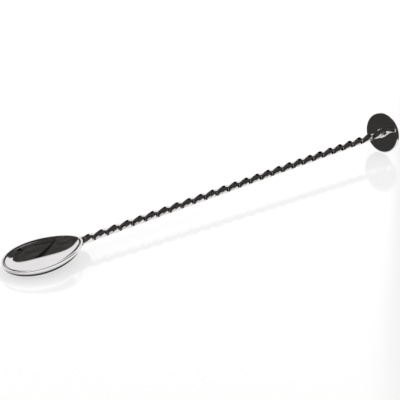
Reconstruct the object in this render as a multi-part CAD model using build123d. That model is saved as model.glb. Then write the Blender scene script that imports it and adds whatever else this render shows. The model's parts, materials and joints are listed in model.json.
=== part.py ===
"""Twisted bar spoon with a flat masher disc, all in polished stainless steel."""
from build123d import *
import math
import os

# Driving dimensions: millimetres and degrees. The stem frame has X along the stem, from the
# bowl towards the masher, Z up, and its origin on the stem's axis where stem meets neck.

# Twisted stem: one square bar with a left-hand twist.
STEM_SIDE = 3.4
STEM_CORNER_RADIUS = 0.25
TWIST_LENGTH = 228.7
TWIST_PITCH = 34.4
CORNER_START_ANGLE = 8.9  # first corner at the neck, from +Y towards +Z
TENON_DIAMETER = 2.6

# Masher: a thin disc with a rounded rim, and the turned collar that seats it.
DISC_DIAMETER = 25.5
DISC_THICKNESS = 1.8
DISC_RIM_RADIUS = 0.7
SOCKET_DEPTH = 1.0
COLLAR_DIAMETER = 5.6
COLLAR_LENGTH = 1.6
COLLAR_EDGE_RADIUS = 0.5

# Spoon bowl: a pressed sheet, egg shaped in plan.
SHEET = 1.0
BOWL_LENGTH = 45.9
BOWL_HALF_WIDTH = 15.75
BOWL_DEPTH = 7.35
EGG_TAPER = 0.143  # how much wider the tip half is than the heel half
EGG_END = -0.05  # how much slimmer both ends are than an ellipse's
WALL_FULLNESS = 0.2  # how much steeper the walls are than an ellipsoid's
RIM_ARCH = 0.76  # rise of the rim's middle over its two ends
BOWL_PITCH = 4.27  # nose-down angle of the rim against the stem
BOWL_CENTRE_X = -25.62
BOWL_CENTRE_Z = 1.57
RIM_ROUND = 0.2

# Neck: the polished weld that joins the heel of the bowl to the stem.
NECK_STEM_DIAMETER = 4.6
NECK_LENGTH = 9.0
NECK_HALF_WIDTH = 4.5
NECK_HALF_HEIGHT = 2.2
NECK_DROP = 0.4

# The bowl's body is lofted through outlines at these angles up from its lowest point.
LEVEL_ANGLES = (90, 76, 62, 48, 34, 20, 9)
OUTLINE_POINTS = 24
TILT_STEPS = 4


def egg_level(half_length, half_width, depth, level_angle):
    """One closed outline of the bowl's body, at a level between its rim and its lowest point."""
    scale = math.sin(math.radians(level_angle))
    drop = math.cos(math.radians(level_angle)) * (1 + WALL_FULLNESS * scale**2)
    points = []
    for index in range(OUTLINE_POINTS):
        turn = 2 * math.pi * index / OUTLINE_POINTS
        along = scale * math.cos(turn)
        width_factor = 1 + EGG_TAPER * along + EGG_END * along**2
        across = scale * math.sin(turn) * half_width * width_factor
        points.append((-half_length * along, across, -depth * drop))
    return Wire([Edge.make_spline([Vector(*point) for point in points], periodic=True)])


def egg_body(inset):
    """The bowl's solid body, set in by a wall thickness, with its widest outline at Z = 0."""
    half_length = BOWL_LENGTH / 2 - inset
    half_width = BOWL_HALF_WIDTH - inset
    depth = BOWL_DEPTH - inset
    levels = [egg_level(half_length, half_width, depth, angle) for angle in LEVEL_ANGLES]
    lowest = Vertex(0, 0, -depth)
    return Solid.make_loft([*levels, lowest])


def above_rim():
    """Everything above the arched rim, which is highest in the bowl's middle."""
    half_length = BOWL_LENGTH / 2
    arch = ThreePointArc((-half_length, -RIM_ARCH), (0, 0), (half_length, -RIM_ARCH))
    lid = Polyline(
        (half_length, -RIM_ARCH),
        (half_length + SHEET, -RIM_ARCH),
        (half_length + SHEET, BOWL_DEPTH),
        (-half_length - SHEET, BOWL_DEPTH),
        (-half_length - SHEET, -RIM_ARCH),
        (-half_length, -RIM_ARCH),
    )
    outline = Plane.XZ * make_face([arch, lid])
    return extrude(outline, amount=BOWL_HALF_WIDTH * 2, both=True)


def in_stem_frame(shape):
    """Sets the bowl's body at its place and nose-down angle behind the stem."""
    place = Pos(BOWL_CENTRE_X, 0, BOWL_CENTRE_Z) * Rot(0, -BOWL_PITCH, 0)
    return place * shape


def spoon_bowl():
    """The pressed sheet bowl, cut to its arched rim, with both rim edges rounded."""
    shell = Part() + egg_body(0) - egg_body(SHEET) - above_rim()
    rim_edges = shell.edges().filter_by(lambda edge: edge.center().Z > -2 * RIM_ARCH)
    return in_stem_frame(fillet(rim_edges, RIM_ROUND))


def bowl_neck():
    """A short neck, round at the stem and wide at the heel, shaped to the bowl's outer wall."""
    stem_end = Plane.YZ * Circle(NECK_STEM_DIAMETER / 2)
    bowl_end = Plane.YZ * Pos(0, -NECK_DROP, -NECK_LENGTH) * Ellipse(NECK_HALF_WIDTH, NECK_HALF_HEIGHT)
    return loft([stem_end, bowl_end]) - in_stem_frame(egg_body(0))


def cylinder_at(start, diameter, length):
    """A cylinder on the stem's axis, from the given distance along it."""
    return extrude(Plane.YZ * Pos(0, 0, start) * Circle(diameter / 2), length)


def twisted_stem():
    """The twisted square bar, with a turned tenon for the collar and the disc."""
    corner_turn = CORNER_START_ANGLE + 45
    square = RectangleRounded(STEM_SIDE, STEM_SIDE, STEM_CORNER_RADIUS)
    section = Plane.YZ * Rot(0, 0, corner_turn) * square
    left_hand_turn = -360 * TWIST_LENGTH / TWIST_PITCH
    run = (TWIST_LENGTH, 0, 0)
    bar = Solid.extrude_linear_with_rotation(section.face(), (0, 0, 0), run, left_hand_turn)
    return Part() + bar + cylinder_at(TWIST_LENGTH, TENON_DIAMETER, COLLAR_LENGTH + SOCKET_DEPTH)


def masher_collar():
    """A turned ring round the tenon, with a softened front edge."""
    blank = cylinder_at(TWIST_LENGTH, COLLAR_DIAMETER, COLLAR_LENGTH)
    front_edge = blank.edges().sort_by(Axis.X)[0]
    ring = fillet(front_edge, COLLAR_EDGE_RADIUS)
    return ring - cylinder_at(TWIST_LENGTH, TENON_DIAMETER, COLLAR_LENGTH)


def masher_disc():
    """The flat disc, plain outside, with a blind socket for the tenon inside."""
    front = TWIST_LENGTH + COLLAR_LENGTH
    blank = cylinder_at(front, DISC_DIAMETER, DISC_THICKNESS)
    rims = blank.edges().filter_by(GeomType.CIRCLE)
    return fillet(rims, DISC_RIM_RADIUS) - cylinder_at(front, TENON_DIAMETER, SOCKET_DEPTH)


def lowest(shape):
    return shape.bounding_box().min.Z


def resting_tilt(bowl, disc):
    """The angle at which the bowl's belly and the disc's rim both touch the ground."""
    span = disc.center().X - bowl.center().X
    tilt = 0
    for _ in range(TILT_STEPS):
        turn = Rot(0, -tilt, 0)
        gap = lowest(turn * disc) - lowest(turn * bowl)
        tilt -= math.degrees(gap / span)
    return tilt


def laid_down(parts):
    """The parts as they lie at rest, on Z = 0, with their common box centred on X and Y."""
    turn = Rot(0, -resting_tilt(parts["spoon_bowl"], parts["masher_disc"]), 0)
    tilted = {name: turn * shape for name, shape in parts.items()}
    box = Compound(list(tilted.values())).bounding_box()
    ground = Pos(-box.center().X, -box.center().Y, -box.min.Z)
    return {name: ground * shape for name, shape in tilted.items()}


PARTS = {
    "spoon_bowl": spoon_bowl(),
    "bowl_neck": bowl_neck(),
    "twisted_stem": twisted_stem(),
    "masher_collar": masher_collar(),
    "masher_disc": masher_disc(),
}

os.makedirs("parts", exist_ok=True)
for name, shape in laid_down(PARTS).items():
    export_step(shape, f"parts/{name}.step")
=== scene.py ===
"""Looks of the twisted bar spoon: mirror-polished steel on a white floor, in a plain studio."""
import json
import math

import bpy
from mathutils import Matrix, Vector


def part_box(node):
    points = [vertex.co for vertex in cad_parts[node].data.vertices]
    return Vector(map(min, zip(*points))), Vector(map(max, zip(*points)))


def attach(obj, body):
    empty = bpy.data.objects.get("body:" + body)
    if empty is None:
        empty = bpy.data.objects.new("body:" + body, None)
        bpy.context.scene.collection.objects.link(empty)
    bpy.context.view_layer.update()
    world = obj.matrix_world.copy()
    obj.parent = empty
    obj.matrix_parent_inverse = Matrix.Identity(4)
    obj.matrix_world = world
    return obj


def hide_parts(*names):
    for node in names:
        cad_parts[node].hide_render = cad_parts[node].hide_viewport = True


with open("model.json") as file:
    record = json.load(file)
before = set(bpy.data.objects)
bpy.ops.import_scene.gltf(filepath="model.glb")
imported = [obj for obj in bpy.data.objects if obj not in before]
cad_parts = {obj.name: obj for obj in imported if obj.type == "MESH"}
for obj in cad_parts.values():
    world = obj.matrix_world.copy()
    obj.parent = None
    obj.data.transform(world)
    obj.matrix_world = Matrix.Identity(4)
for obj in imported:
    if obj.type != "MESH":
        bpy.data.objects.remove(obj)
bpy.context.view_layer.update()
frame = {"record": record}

MM = 0.001

# The stem frame is the CAD's own: X along the stem from the bowl to the masher, Z up, and its
# origin where stem meets neck. Dimensions are in millimetres and degrees.
STEM_SIDE = 3.4
STEM_CORNER_RADIUS = 0.25
TWIST_LENGTH = 228.7
TWIST_PITCH = 34.4
CORNER_START_ANGLE = 8.9
TENON_DIAMETER = 2.6
TENON_LENGTH = 2.6

DISC_DIAMETER = 25.5
DISC_THICKNESS = 1.8
DISC_RIM_RADIUS = 0.7
COLLAR_DIAMETER = 5.6
COLLAR_LENGTH = 1.6
COLLAR_EDGE_RADIUS = 0.5

SHEET = 1.0
BOWL_LENGTH = 45.9
BOWL_HALF_WIDTH = 15.75
BOWL_DEPTH = 7.35
EGG_TAPER = 0.143
EGG_END = -0.05
WALL_FULLNESS = 0.2
RIM_ARCH = 0.76
RIM_ROUND = 0.2
BOWL_PITCH = 4.27
BOWL_CENTRE_X = -25.62
BOWL_CENTRE_Z = 1.57

NECK_STEM_DIAMETER = 4.6
NECK_LENGTH = 9.0
NECK_HALF_WIDTH = 4.5
NECK_HALF_HEIGHT = 2.2
NECK_DROP = 0.4
NECK_SHOULDER = 0.35
NECK_SHOWN_LENGTH = 2.8  # from the stem to just inside the bowl's outer wall

# Mesh density.
STEM_RING_SPACING = 0.4
STEM_CORNER_STEPS = 5
STEM_FACE_STEPS = 8
BOWL_TURNS = 224
BOWL_LEVELS = 56
ROUND_STEPS = 5
LATHE_TURNS = 192
NECK_TURNS = 64
NECK_RINGS = 18
DISC_FACE_RINGS = (0.2, 0.5, 0.8, 0.97)  # shares of the flat face's radius
RIM_SEARCH_ANGLES = (60, 90)
RIM_SEARCH_STEPS = 40

# Camera, at the photograph's viewing angle.
CAMERA_TARGET = Vector((0.94, 14.93, 0)) * MM
CAMERA_DISTANCE = 751.44 * MM
CAMERA_AZIMUTH = -41.89
CAMERA_ELEVATION = 21.479
CAMERA_LENS = 119.82
CAMERA_SENSOR = 36

# Floor, in metres. It glows a little, so that shadows on it stay faint.
FLOOR_HALF_WIDTH = 3.0
FLOOR_ROUGHNESS = 0.1
FLOOR_IOR = 1.5
FLOOR_GLOW = 0.66
FLOOR_TONES = ((0.27, 0.27, 0.27, 1), (0.28, 0.28, 0.28, 1))
FLOOR_CLOUD_SCALE = (7, 7, 7)

# Side light: azimuth, elevation and distance in metres, then half its angles across and up.
SIDE_LIGHT = (130, 17, 3.0)
SIDE_LIGHT_HALF_SIZE = (15, 22)
SIDE_LIGHT_RADIANCE = 0.6

# Each flag's azimuths and elevations: one in the sweep, and one low on the floor to the right.
FLAGS = (((12, 54), (-40, 46)), ((54, 105), (-42, -28)))
FLAG_DISTANCE = 2.5
FLAG_STEPS = 12

# Contact card, a painted contact shadow for the bowl's reflections: its size as a share of the bowl's box,
# and where on it the shade fades to white.
CONTACT_REACH = 1.15
CONTACT_POINTS = 48
CONTACT_LIFT = 0.00002
CONTACT_FADE = (0.75, 1.0)
CONTACT_SHADOW_DARK = (0.02, 0.02, 0.02, 1)

# Colour and roughness of each piece's steel, and the tint that each takes where it is worn.
BOWL_STEEL = ((0.85, 0.84, 0.835, 1), 0.03)
STEM_STEEL = ((0.84, 0.83, 0.825, 1), 0.035)
DISC_STEEL = ((0.84, 0.83, 0.825, 1), 0.03)
COLLAR_STEEL = ((0.85, 0.84, 0.835, 1), 0.04)
WELD_STEEL = ((0.82, 0.805, 0.79, 1), 0.07)
WORN_COLOUR = (0.88, 0.875, 0.87, 1)
WORN_SHARE = 0.6
SMUDGE_DULLING = 0.955

# How much scratches, smudges and wear each add to the roughness, and how high a scratch stands.
SCRATCH_ROUGHNESS = 0.05
SMUDGE_ROUGHNESS = 0.025
WEAR_ROUGHNESS = 0.05
RELIEF_STRENGTH = 0.12
RELIEF_HEIGHT = 0.00001

# Marks on the steel: cycles per metre along each axis, then the noise levels between which they show.
SMUDGES = ((90, 90, 90), (0.35, 0.75))
WEAR = ((400, 400, 400), (0.3, 0.7))
LEAST_WEAR = 0.3
POLISHING_LINES = ((120, 5200, 5200), (0.45, 0.75))
USE_RUBS = ((1900, 260, 1900), (0.62, 0.74))
DRAW_LINES = ((45, 4200, 4200), (0.4, 0.75))
TURNED_RINGS = ((5200, 1, 1), (0.42, 0.75))
TURNED_RUBS = ((300, 300, 2600), (0.6, 0.75))
TURNED_RUB_SHARE = 0.7
WELD_GRAIN = ((1500, 1100, 1100), (0.35, 0.7))


def stem_frame():
    """The matrix from the stem frame to the row frame, in metres, read from the masher's mount."""
    mount = next(m for m in frame["record"]["mounts"] if m["name"] == "masher_face")
    along = Vector(mount["axis"])
    across = Vector((0, 1, 0))
    up = along.cross(across)
    reach = (TWIST_LENGTH + COLLAR_LENGTH + DISC_THICKNESS) * MM
    origin = Vector(mount["pos_m"]) - along * reach
    turn = Matrix((along, across, up)).transposed().to_4x4()
    return Matrix.Translation(origin) @ turn


def bowl_frame():
    """The matrix from the bowl's own frame, with its rim's highest point at Z = 0, to the row frame."""
    place = Matrix.Translation(Vector((BOWL_CENTRE_X, 0, BOWL_CENTRE_Z)) * MM)
    return stem_frame() @ place @ Matrix.Rotation(math.radians(-BOWL_PITCH), 4, "Y")


class Graph:
    """A node tree, with one short call for each kind of node used here."""

    def __init__(self, tree):
        self.tree = tree
        tree.nodes.clear()

    def node(self, kind, inputs=None, **settings):
        made = self.tree.nodes.new("ShaderNode" + kind)
        for name, value in settings.items():
            setattr(made, name, value)
        for name, value in (inputs or {}).items():
            self.feed(made.inputs[name], value)
        return made

    def feed(self, socket, value):
        if isinstance(value, bpy.types.NodeSocket):
            self.tree.links.new(value, socket)
        else:
            socket.default_value = value

    def calc(self, operation, first, second=0.0):
        return self.node("Math", {0: first, 1: second}, operation=operation).outputs[0]

    def vector(self, operation, first, second=(0, 0, 0)):
        made = self.node("VectorMath", {0: first, 1: second}, operation=operation)
        return made.outputs["Value" if operation in ("DOT_PRODUCT", "LENGTH") else "Vector"]

    def remap(self, value, low, high, out_low=0.0, out_high=1.0):
        inputs = {"Value": value, "From Min": low, "From Max": high, "To Min": out_low, "To Max": out_high}
        return self.node("MapRange", inputs, interpolation_type="SMOOTHSTEP").outputs["Result"]

    def marked(self, place, mark, detail=2.0, low=0.0):
        """Marks of a given scale that show between two noise levels, from low up to 1."""
        scale, levels = mark
        return self.remap(self.noise(place, scale, detail=detail), *levels, low, 1.0)

    def band(self, value, low, high, soft):
        """1 between low and high, and 0 outside, with edges that fade over soft."""
        rise = self.remap(value, low - soft / 2, low + soft / 2)
        fall = self.remap(value, high - soft / 2, high + soft / 2, 1.0, 0.0)
        return self.calc("MULTIPLY", rise, fall)

    def blend(self, share, first, second):
        made = self.node("Mix", {"Factor": share}, data_type="RGBA")
        self.feed(made.inputs[6], first)
        self.feed(made.inputs[7], second)
        return made.outputs[2]

    def noise(self, place, scale, detail=2.0, roughness=0.5):
        """Noise with its own scale along each axis, in cycles per metre."""
        stretched = self.vector("MULTIPLY", place, scale)
        inputs = {"Vector": stretched, "Scale": 1.0, "Detail": detail, "Roughness": roughness}
        return self.node("TexNoise", inputs).outputs["Fac"]


# The studio, as mirror-polished steel sees it: a white sweep that goes up behind the spoon, in a
# dark room. Azimuths are from the camera's forward direction, positive to its right, and
# elevations from the horizon, in degrees.
SWEEP_CENTRE = (-8, 9.5)
SWEEP_HALF_SIZE = (67, 34.5)
SWEEP_ROUNDNESS = 3.5
SWEEP_FADE = (0.75, 1.25)
FLOOR_EDGE = -28
FLOOR_FADE = 5
SWEEP_LIGHT = (0.93, 0.92, 0.925, 1)
ROOM_DARK = (0.034, 0.032, 0.031, 1)
ROOM_GLIMMER = (0.062, 0.059, 0.058, 1)
GLIMMER = ((2.4, 2.4, 4.0), (0.35, 0.7))
GEAR_DARK = (0.008, 0.007, 0.007, 1)
STAND_AZIMUTHS = (96, 106)
STAND_ELEVATIONS = (-24, 44)
STAND_SOFT_EDGES = (4, 8)
ARCH_TOP = (151, 51)
ARCH_BEND = 0.1
ARCH_AZIMUTHS = (120, 178)
ARCH_HALF_WIDTH = 4
ARCH_SOFT_EDGES = (5, 4)
BOOM_AZIMUTH = 82
BOOM_HALF_WIDTH = 0.03
BOOM_FOOT_ELEVATIONS = (18, 26)


def direction_angles(g, direction):
    """Azimuth and elevation of a direction, in degrees, from the camera's forward direction."""
    facing = math.radians(CAMERA_AZIMUTH)
    ahead = (-math.sin(facing), math.cos(facing), 0)
    right = (math.cos(facing), math.sin(facing), 0)
    sideways = g.vector("DOT_PRODUCT", direction, right)
    forwards = g.vector("DOT_PRODUCT", direction, ahead)
    azimuth = g.calc("MULTIPLY", g.calc("ARCTAN2", sideways, forwards), math.degrees(1))
    height = g.node("SeparateXYZ", {0: direction}).outputs["Z"]
    elevation = g.calc("MULTIPLY", g.calc("ARCSINE", height), math.degrees(1))
    return azimuth, elevation


def sweep_mask(g, azimuth, elevation):
    """1 in the white sweep behind the spoon, a soft-edged rectangle with rounded corners."""
    total = 0.0
    for angle, centre, half in zip((azimuth, elevation), SWEEP_CENTRE, SWEEP_HALF_SIZE):
        offset = g.calc("ABSOLUTE", g.calc("DIVIDE", g.calc("SUBTRACT", angle, centre), half))
        total = g.calc("ADD", g.calc("POWER", offset, SWEEP_ROUNDNESS), total)
    return g.remap(total, *SWEEP_FADE, 1.0, 0.0)


def gear_mask(g, direction, azimuth, elevation):
    """1 on the dark studio gear: a light stand, an overhead boom and an arched frame."""
    stand_width = g.band(azimuth, *STAND_AZIMUTHS, STAND_SOFT_EDGES[0])
    stand_height = g.band(elevation, *STAND_ELEVATIONS, STAND_SOFT_EDGES[1])
    stand = g.calc("MULTIPLY", stand_width, stand_height)
    from_top = g.calc("SUBTRACT", azimuth, ARCH_TOP[0])
    drop = g.calc("MULTIPLY", g.calc("POWER", from_top, 2.0), ARCH_BEND)
    over_arch = g.calc("SUBTRACT", elevation, g.calc("SUBTRACT", ARCH_TOP[1], drop))
    arch_line = g.band(over_arch, -ARCH_HALF_WIDTH, ARCH_HALF_WIDTH, ARCH_SOFT_EDGES[0])
    arch_span = g.band(azimuth, *ARCH_AZIMUTHS, ARCH_SOFT_EDGES[1])
    arch = g.calc("MULTIPLY", arch_line, arch_span)
    across = math.radians(CAMERA_AZIMUTH - BOOM_AZIMUTH + 90)
    boom_side = g.vector("DOT_PRODUCT", direction, (math.cos(across), math.sin(across), 0))
    boom_line = g.band(boom_side, -BOOM_HALF_WIDTH, BOOM_HALF_WIDTH, BOOM_HALF_WIDTH)
    boom = g.calc("MULTIPLY", boom_line, g.remap(elevation, *BOOM_FOOT_ELEVATIONS))
    return g.calc("MAXIMUM", g.calc("MAXIMUM", stand, arch), boom)


def studio_world():
    """White for the camera and for the floor's light, and the studio for reflections."""
    world = bpy.data.worlds.new("studio")
    bpy.context.scene.world = world
    world.use_nodes = True
    g = Graph(world.node_tree)
    direction = g.node("TexCoord").outputs["Generated"]
    azimuth, elevation = direction_angles(g, direction)
    room = g.blend(g.marked(direction, GLIMMER), ROOM_DARK, ROOM_GLIMMER)
    room = g.blend(gear_mask(g, direction, azimuth, elevation), room, GEAR_DARK)
    floor = g.remap(elevation, FLOOR_EDGE - FLOOR_FADE, FLOOR_EDGE + FLOOR_FADE, 1.0, 0.0)
    seen = g.blend(g.calc("MAXIMUM", sweep_mask(g, azimuth, elevation), floor), room, SWEEP_LIGHT)
    mirrored = g.node("Background", {"Color": seen, "Strength": 1.0})
    plain = g.node("Background", {"Color": (1, 1, 1, 1), "Strength": 1.0})
    is_glossy = g.node("LightPath").outputs["Is Glossy Ray"]
    shown = g.node("MixShader", {0: is_glossy, 1: plain.outputs[0], 2: mirrored.outputs[0]})
    g.node("OutputWorld", {"Surface": shown.outputs[0]})


def floor_material():
    """Glossy white acrylic, lit through from below, so that shadows on it stay faint."""
    material = bpy.data.materials.new("white_floor")
    material.use_nodes = True
    g = Graph(material.node_tree)
    place = g.node("TexCoord").outputs["Object"]
    tone = g.blend(g.noise(place, FLOOR_CLOUD_SCALE, detail=3.0), *FLOOR_TONES)
    inputs = {
        "Base Color": tone,
        "Roughness": FLOOR_ROUGHNESS,
        "IOR": FLOOR_IOR,
        "Emission Color": (1, 1, 1, 1),
        "Emission Strength": FLOOR_GLOW,
    }
    shader = g.node("BsdfPrincipled", inputs)
    g.node("OutputMaterial", {"Surface": shader.outputs[0]})
    return material


def steel_material(name, colour, roughness, marks):
    """Polished steel. marks(g, place) returns how scratched each point is, 0 to 1."""
    material = bpy.data.materials.new(name)
    material.use_nodes = True
    g = Graph(material.node_tree)
    place = g.node("Attribute", attribute_name="grain").outputs["Vector"]
    scratch = marks(g, place)
    smudge = g.marked(place, SMUDGES, detail=3.0)
    edge = g.node("Attribute", attribute_name="edge").outputs["Fac"]
    worn = g.calc("MULTIPLY", edge, g.marked(place, WEAR, low=LEAST_WEAR))
    dulled = g.blend(smudge, colour, tuple(SMUDGE_DULLING * c for c in colour[:3]) + (1,))
    tone = g.blend(g.calc("MULTIPLY", worn, WORN_SHARE), dulled, WORN_COLOUR)
    rough = g.calc("ADD", roughness, g.calc("MULTIPLY", scratch, SCRATCH_ROUGHNESS))
    rough = g.calc("ADD", rough, g.calc("MULTIPLY", smudge, SMUDGE_ROUGHNESS))
    rough = g.calc("ADD", rough, g.calc("MULTIPLY", worn, WEAR_ROUGHNESS))
    relief = g.node("Bump", {"Strength": RELIEF_STRENGTH, "Distance": RELIEF_HEIGHT, "Height": scratch})
    inputs = {
        "Base Color": tone,
        "Metallic": 1.0,
        "Roughness": rough,
        "Normal": relief.outputs[0],
    }
    shader = g.node("BsdfPrincipled", inputs)
    g.node("OutputMaterial", {"Surface": shader.outputs[0]})
    return material


def lengthwise_marks(g, place):
    """Fine polishing lines along the bowl, crossed by a few rubs from use."""
    return g.calc("MAXIMUM", g.marked(place, POLISHING_LINES, detail=3.0), g.marked(place, USE_RUBS))


def drawn_marks(g, place):
    """Draw lines that follow the bar's faces round the twist."""
    return g.marked(place, DRAW_LINES, detail=3.0)


def turned_marks(g, place):
    """Concentric marks round the stem's axis, broken up by short rubs."""
    outward = g.vector("LENGTH", g.vector("MULTIPLY", place, (0, 1, 1)))
    ring = g.node("CombineXYZ", {0: outward}).outputs[0]
    rings = g.marked(ring, TURNED_RINGS, detail=3.0)
    rubs = g.calc("MULTIPLY", g.marked(place, TURNED_RUBS), TURNED_RUB_SHARE)
    return g.calc("MAXIMUM", rings, rubs)


def weld_marks(g, place):
    """The uneven, slightly matt surface of a polished weld."""
    return g.marked(place, WELD_GRAIN, detail=4.0)


def grid_mesh(name, rows, place, edges=None, grain=None):
    """A tube of quads through rows of points in millimetres, which place takes to the row frame.

    Each row is a closed loop, and a row of one point closes an end. edges says how worn each
    point is, 0 to 1, and grain gives the coordinates that its marks follow, if not its own.
    """
    points = [point for row in rows for point in row]
    starts = [0]
    for row in rows:
        starts.append(starts[-1] + len(row))
    faces = []
    for index in range(len(rows) - 1):
        low, high = rows[index], rows[index + 1]
        count = max(len(low), len(high))
        for step in range(count):
            following = (step + 1) % count
            if len(low) == 1:
                faces.append((starts[index], starts[index + 1] + step, starts[index + 1] + following))
            elif len(high) == 1:
                faces.append((starts[index] + step, starts[index + 1], starts[index] + following))
            else:
                faces.append(
                    (
                        starts[index] + step,
                        starts[index + 1] + step,
                        starts[index + 1] + following,
                        starts[index] + following,
                    )
                )
    mesh = bpy.data.meshes.new(name)
    mesh.from_pydata([place @ (Vector(point) * MM) for point in points], [], faces)
    mesh.polygons.foreach_set("use_smooth", [True] * len(mesh.polygons))
    worn = mesh.attributes.new("edge", "FLOAT", "POINT")
    worn.data.foreach_set("value", edges or [0.0] * len(points))
    lines = mesh.attributes.new("grain", "FLOAT_VECTOR", "POINT")
    lines.data.foreach_set("vector", [value * MM for point in grain or points for value in point])
    return mesh


def piece(name, mesh, node, material):
    """Puts a mesh in the scene as a piece that stands for a CAD node."""
    made = bpy.data.objects.new(name, mesh)
    bpy.context.scene.collection.objects.link(made)
    mesh.materials.append(material)
    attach(made, "root")
    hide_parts(node)
    return made


def rounded(start, corner, end):
    """Points of the round stretch from start to end that replaces a sharp corner, both ends left out."""
    points = []
    for step in range(1, ROUND_STEPS):
        share = step / ROUND_STEPS
        bent = start * (1 - share) ** 2 + corner * 2 * share * (1 - share) + end * share**2
        points.append(bent)
    return points


def egg_point(inset, level, turn):
    """A point of the bowl's wall, level radians up from its lowest point, turn radians round from the tip."""
    half_length = BOWL_LENGTH / 2 - inset
    along = math.sin(level) * math.cos(turn)
    width_factor = 1 + EGG_TAPER * along + EGG_END * along**2
    across = math.sin(level) * math.sin(turn) * (BOWL_HALF_WIDTH - inset) * width_factor
    drop = math.cos(level) * (1 + WALL_FULLNESS * math.sin(level) ** 2)
    return Vector((-half_length * along, across, -(BOWL_DEPTH - inset) * drop))


def rim_level(inset, turn):
    """The level at which the bowl's wall meets its arched rim, found by halving."""
    low, high = (math.radians(angle) for angle in RIM_SEARCH_ANGLES)
    for _ in range(RIM_SEARCH_STEPS):
        middle = (low + high) / 2
        point = egg_point(inset, middle, turn)
        rim_height = -RIM_ARCH * (point.x / (BOWL_LENGTH / 2)) ** 2
        if point.z < rim_height:
            low = middle
        else:
            high = middle
    return low


def bowl_profile(turn):
    """The sheet's section at a turn round the bowl: outer wall up, over the rim, inner wall down."""
    wall_slope = (1 + WALL_FULLNESS) * BOWL_DEPTH
    round_angle = RIM_ROUND / wall_slope
    outer_rim, inner_rim = rim_level(0, turn), rim_level(SHEET, turn)
    outer_top, inner_top = outer_rim - round_angle, inner_rim - round_angle
    outer = [egg_point(0, outer_top * k / BOWL_LEVELS, turn) for k in range(1, BOWL_LEVELS + 1)]
    inner = [egg_point(SHEET, inner_top * k / BOWL_LEVELS, turn) for k in range(BOWL_LEVELS, 0, -1)]
    outer_corner, inner_corner = egg_point(0, outer_rim, turn), egg_point(SHEET, inner_rim, turn)
    across = (inner_corner - outer_corner).normalized() * RIM_ROUND
    flat = [outer_corner + across, inner_corner - across]
    rim = [*rounded(outer[-1], outer_corner, flat[0]), *flat, *rounded(flat[1], inner_corner, inner[0])]
    return outer, rim, inner


def make_bowl():
    profiles = [bowl_profile(2 * math.pi * k / BOWL_TURNS) for k in range(BOWL_TURNS)]
    lines = [outer + rim + inner for outer, rim, inner in profiles]
    rows = [list(row) for row in zip(*lines)]
    rows.insert(0, [Vector((0, 0, -BOWL_DEPTH))])
    rows.append([Vector((0, 0, SHEET - BOWL_DEPTH))])
    first_rim_row, last_rim_row = BOWL_LEVELS, len(rows) - 1 - BOWL_LEVELS
    edges = []
    for index, row in enumerate(rows):
        worn = first_rim_row <= index <= last_rim_row
        edges += [float(worn)] * len(row)
    mesh = grid_mesh("spoon_bowl_mirror", rows, bowl_frame(), edges=edges)
    steel = steel_material("polished_steel", *BOWL_STEEL, lengthwise_marks)
    return piece("bowl_shell", mesh, "spoon_bowl", steel)


def square_section():
    """The bar's section as (y, z, edge) points, corners rounded, each point's share of a worn corner last."""
    half = STEM_SIDE / 2
    centre = half - STEM_CORNER_RADIUS
    points = []
    for corner in range(4):
        turn = math.radians(90 * corner + 45)
        middle = Vector((math.cos(turn), math.sin(turn))) * centre * math.sqrt(2)
        for step in range(STEM_CORNER_STEPS + 1):
            angle = math.radians(90 * corner + 90 * step / STEM_CORNER_STEPS)
            outward = Vector((math.cos(angle), math.sin(angle))) * STEM_CORNER_RADIUS
            points.append((*(middle + outward), 1.0))
        start = Vector(points[-1][:2])
        along = Vector((-math.sin(math.radians(90 * corner + 90)), math.cos(math.radians(90 * corner + 90))))
        for step in range(1, STEM_FACE_STEPS):
            spread = (1 - math.cos(math.pi * step / STEM_FACE_STEPS)) / 2
            points.append((*(start + along * 2 * centre * spread), 0.0))
    return points


def turned_section(section, distance, scale=1.0):
    """The bar's section at a distance along the stem, after its left-hand twist."""
    turn = math.radians(CORNER_START_ANGLE - 45 - 360 * distance / TWIST_PITCH)
    cos, sin = math.cos(turn), math.sin(turn)
    return [(distance, scale * (y * cos - z * sin), scale * (y * sin + z * cos)) for y, z, _ in section]


def make_stem():
    section = square_section()
    count = round(TWIST_LENGTH / STEM_RING_SPACING)
    distances = [TWIST_LENGTH * k / count for k in range(count + 1)]
    rows = [turned_section(section, distance) for distance in distances]
    tenon = []
    for distance in (TWIST_LENGTH, TWIST_LENGTH + TENON_LENGTH):
        ring = turned_section(section, distance)
        radius = TENON_DIAMETER / 2
        tenon.append([(x, y * radius / math.hypot(y, z), z * radius / math.hypot(y, z)) for x, y, z in ring])
    rows = [[(0, 0, 0)], *rows, *tenon, [(TWIST_LENGTH + TENON_LENGTH, 0, 0)]]
    edges, grain = [], []
    for row in rows:
        edges += [point[2] for point in section] if len(row) > 1 else [0.0]
        grain += [(row[0][0], y, z) for y, z, _ in section] if len(row) > 1 else [row[0]]
    mesh = grid_mesh("twisted_stem_drawn", rows, stem_frame(), edges=edges, grain=grain)
    steel = steel_material("stem_steel", *STEM_STEEL, drawn_marks)
    return piece("stem_bar", mesh, "twisted_stem", steel)


def lathed(name, profile, edges):
    """A mesh turned round the stem's axis from (distance, radius) points. Radius 0 closes an end."""
    rows = []
    for distance, radius in profile:
        if radius == 0:
            rows.append([(distance, 0, 0)])
            continue
        turns = [2 * math.pi * k / LATHE_TURNS for k in range(LATHE_TURNS)]
        rows.append([(distance, radius * math.cos(turn), radius * math.sin(turn)) for turn in turns])
    worn = []
    for row, edge in zip(rows, edges):
        worn += [edge] * len(row)
    return grid_mesh(name, rows, stem_frame(), edges=worn)


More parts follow.
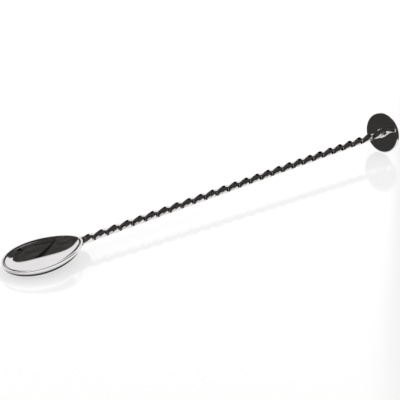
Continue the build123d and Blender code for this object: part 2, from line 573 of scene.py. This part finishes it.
def arc(centre, radius, start, end):
    """Points (distance, radius) of an arc, angles from the stem's direction towards outward."""
    points = []
    for step in range(ROUND_STEPS + 1):
        angle = math.radians(start + (end - start) * step / ROUND_STEPS)
        points.append((centre[0] + radius * math.cos(angle), centre[1] + radius * math.sin(angle)))
    return points


def make_disc():
    front = TWIST_LENGTH + COLLAR_LENGTH
    back = front + DISC_THICKNESS
    outer = DISC_DIAMETER / 2
    flat = outer - DISC_RIM_RADIUS
    front_round = arc((front + DISC_RIM_RADIUS, flat), DISC_RIM_RADIUS, 180, 90)
    back_round = arc((back - DISC_RIM_RADIUS, flat), DISC_RIM_RADIUS, 90, 0)
    rings = [flat * share for share in DISC_FACE_RINGS]
    front_face = [(front, 0), *[(front, ring) for ring in rings]]
    back_face = [*[(back, ring) for ring in reversed(rings)], (back, 0)]
    profile = [*front_face, *front_round, *back_round, *back_face]
    edges = [0.0] * len(front_face) + [1.0] * (len(front_round) + len(back_round)) + [0.0] * len(back_face)
    mesh = lathed("masher_disc_turned", profile, edges)
    steel = steel_material("disc_steel", *DISC_STEEL, turned_marks)
    return piece("masher_plate", mesh, "masher_disc", steel)


def make_collar():
    front, back = TWIST_LENGTH, TWIST_LENGTH + COLLAR_LENGTH
    outer, bore = COLLAR_DIAMETER / 2, TENON_DIAMETER / 2
    flat = outer - COLLAR_EDGE_RADIUS
    rounded_edge = arc((front + COLLAR_EDGE_RADIUS, flat), COLLAR_EDGE_RADIUS, 180, 90)
    profile = [(front, 0), (front, bore), *rounded_edge, (back, outer), (back, 0)]
    edges = [0.0, 0.0, *[1.0] * len(rounded_edge), 0.0, 0.0]
    mesh = lathed("masher_collar_turned", profile, edges)
    steel = steel_material("collar_steel", *COLLAR_STEEL, turned_marks)
    return piece("collar_ring", mesh, "masher_collar", steel)


def make_neck():
    """The weld: round at the stem, with a softened shoulder, and flared to the bowl's heel."""
    radius = NECK_STEM_DIAMETER / 2
    rows = [[(0, 0, 0)]]
    shoulder = arc((-NECK_SHOULDER, radius - NECK_SHOULDER), NECK_SHOULDER, 0, 90)
    turns = [2 * math.pi * k / NECK_TURNS for k in range(NECK_TURNS)]
    for distance, size in shoulder:
        rows.append([(distance, size * math.cos(turn), size * math.sin(turn)) for turn in turns])
    last = -NECK_SHOWN_LENGTH
    for step in range(1, NECK_RINGS + 1):
        share = step / NECK_RINGS
        distance = -NECK_SHOULDER + (last + NECK_SHOULDER) * share
        grown = -distance / NECK_LENGTH
        width = radius + (NECK_HALF_WIDTH - radius) * grown
        height = radius + (NECK_HALF_HEIGHT - radius) * grown
        drop = NECK_DROP * grown
        rows.append([(distance, width * math.cos(turn), height * math.sin(turn) - drop) for turn in turns])
    rows.append([(last, 0, 0)])
    mesh = grid_mesh("bowl_neck_weld", rows, stem_frame())
    steel = steel_material("weld_steel", *WELD_STEEL, weld_marks)
    return piece("neck_weld", mesh, "bowl_neck", steel)


def make_floor():
    corner = FLOOR_HALF_WIDTH
    corners = [(-corner, -corner, 0), (corner, -corner, 0), (corner, corner, 0), (-corner, corner, 0)]
    mesh = bpy.data.meshes.new("floor")
    mesh.from_pydata(corners, [], [(0, 1, 2, 3)])
    mesh.materials.append(floor_material())
    floor = bpy.data.objects.new("floor", mesh)
    bpy.context.scene.collection.objects.link(floor)
    floor.visible_glossy = False


def facing_point(azimuth, elevation, distance):
    """A point at a distance from the frame's origin, in degrees from the camera's forward direction."""
    turn = math.radians(90 + CAMERA_AZIMUTH - azimuth)
    level = math.cos(math.radians(elevation))
    way = Vector((math.cos(turn) * level, math.sin(turn) * level, math.sin(math.radians(elevation))))
    return way * distance


def receivers(name, pieces):
    """A collection of the only pieces that a light reaches."""
    group = bpy.data.collections.new(name)
    for member in pieces:
        group.objects.link(member)
    return group


def make_side_light(pieces):
    """A soft box behind the camera, to its right, that reaches only the given pieces."""
    data = bpy.data.lights.new("side_softbox", "AREA")
    data.shape = "RECTANGLE"
    azimuth, elevation, distance = SIDE_LIGHT
    data.size = 2 * distance * math.tan(math.radians(SIDE_LIGHT_HALF_SIZE[0]))
    data.size_y = 2 * distance * math.tan(math.radians(SIDE_LIGHT_HALF_SIZE[1]))
    data.energy = math.pi * data.size * data.size_y * SIDE_LIGHT_RADIANCE
    light = bpy.data.objects.new("side_softbox", data)
    bpy.context.scene.collection.objects.link(light)
    light.location = facing_point(azimuth, elevation, distance)
    light.rotation_mode = "QUATERNION"
    light.rotation_quaternion = (-light.location).to_track_quat("-Z", "Y")
    light.visible_camera = False
    light.light_linking.receiver_collection = receivers("side_lit", pieces)


def glow_material(name, colour):
    material = bpy.data.materials.new(name)
    material.use_nodes = True
    g = Graph(material.node_tree)
    shader = g.node("Emission", {"Color": colour, "Strength": 1.0})
    g.node("OutputMaterial", {"Surface": shader.outputs[0]})
    return material, g, shader


def studio_card(name, points, faces, material, pieces):
    """A card that only reflections show, white for the given pieces and black for the others."""
    mesh = bpy.data.meshes.new(name)
    mesh.from_pydata(points, [], faces)
    mesh.materials.append(material)
    card = bpy.data.objects.new(name, mesh)
    bpy.context.scene.collection.objects.link(card)
    card.visible_camera = False
    card.visible_diffuse = False
    card.visible_shadow = False
    card.light_linking.receiver_collection = receivers(name + "_lit", pieces)


def make_flags(pieces):
    """Parts of the sweep and floor that are dark for the bar and its collar, and white for the rest."""
    for number, (azimuths, elevations) in enumerate(FLAGS):
        points = []
        for step in range(FLAG_STEPS + 1):
            azimuth = azimuths[0] + (azimuths[1] - azimuths[0]) * step / FLAG_STEPS
            points += [facing_point(azimuth, elevation, FLAG_DISTANCE) for elevation in elevations]
        faces = [(2 * k, 2 * k + 2, 2 * k + 3, 2 * k + 1) for k in range(FLAG_STEPS)]
        name = f"flag_card_{number}"
        material, _, _ = glow_material(name, SWEEP_LIGHT)
        studio_card(name, points, faces, material, pieces)


def make_contact_shadow_card(pieces):
    """The floor under the bowl as the bowl's belly sees it, with a painted contact shadow: dark at the touch,
    white further out.
    """
    low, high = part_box("spoon_bowl")
    middle = (low + high) / 2
    reach = Vector((high.x - low.x, high.y - low.y)) / 2 * CONTACT_REACH
    points = []
    for step in range(CONTACT_POINTS):
        turn = 2 * math.pi * step / CONTACT_POINTS
        across, along = reach.x * math.cos(turn), reach.y * math.sin(turn)
        points.append((middle.x + across, middle.y + along, CONTACT_LIFT))
    # Painted shadow: the card glows dark at the middle, in place of the contact shadow under the bowl.
    material, g, shader = glow_material("contact_shadow_card", SWEEP_LIGHT)
    offset = g.vector("SUBTRACT", g.node("TexCoord").outputs["Object"], tuple(middle))
    flat = g.vector("MULTIPLY", offset, (1 / reach.x, 1 / reach.y, 0))
    nearness = g.remap(g.vector("LENGTH", flat), *CONTACT_FADE)
    g.feed(shader.inputs["Color"], g.blend(nearness, CONTACT_SHADOW_DARK, SWEEP_LIGHT))
    studio_card("contact_shadow_card", points, [tuple(range(CONTACT_POINTS))], material, pieces)


def make_camera():
    data = bpy.data.cameras.new("camera")
    data.sensor_width = CAMERA_SENSOR
    data.lens = CAMERA_LENS
    azimuth, elevation = math.radians(CAMERA_AZIMUTH), math.radians(CAMERA_ELEVATION)
    level = math.cos(elevation)
    back = Vector((math.sin(azimuth) * level, -math.cos(azimuth) * level, math.sin(elevation)))
    camera = bpy.data.objects.new("camera", data)
    bpy.context.scene.collection.objects.link(camera)
    camera.location = CAMERA_TARGET + back * CAMERA_DISTANCE
    camera.rotation_mode = "QUATERNION"
    camera.rotation_quaternion = (-back).to_track_quat("-Z", "Y")
    bpy.context.scene.camera = camera


bowl = make_bowl()
neck = make_neck()
stem = make_stem()
collar = make_collar()
disc = make_disc()
make_side_light([stem, collar, neck])
make_flags([bowl, neck, disc])
# Painted contact shadow under the bowl, which only the bowl's and neck's reflections show.
make_contact_shadow_card([bowl, neck])
make_floor()
make_camera()
studio_world()
bpy.context.scene.view_settings.view_transform = "Standard"

bpy.context.view_layer.update()
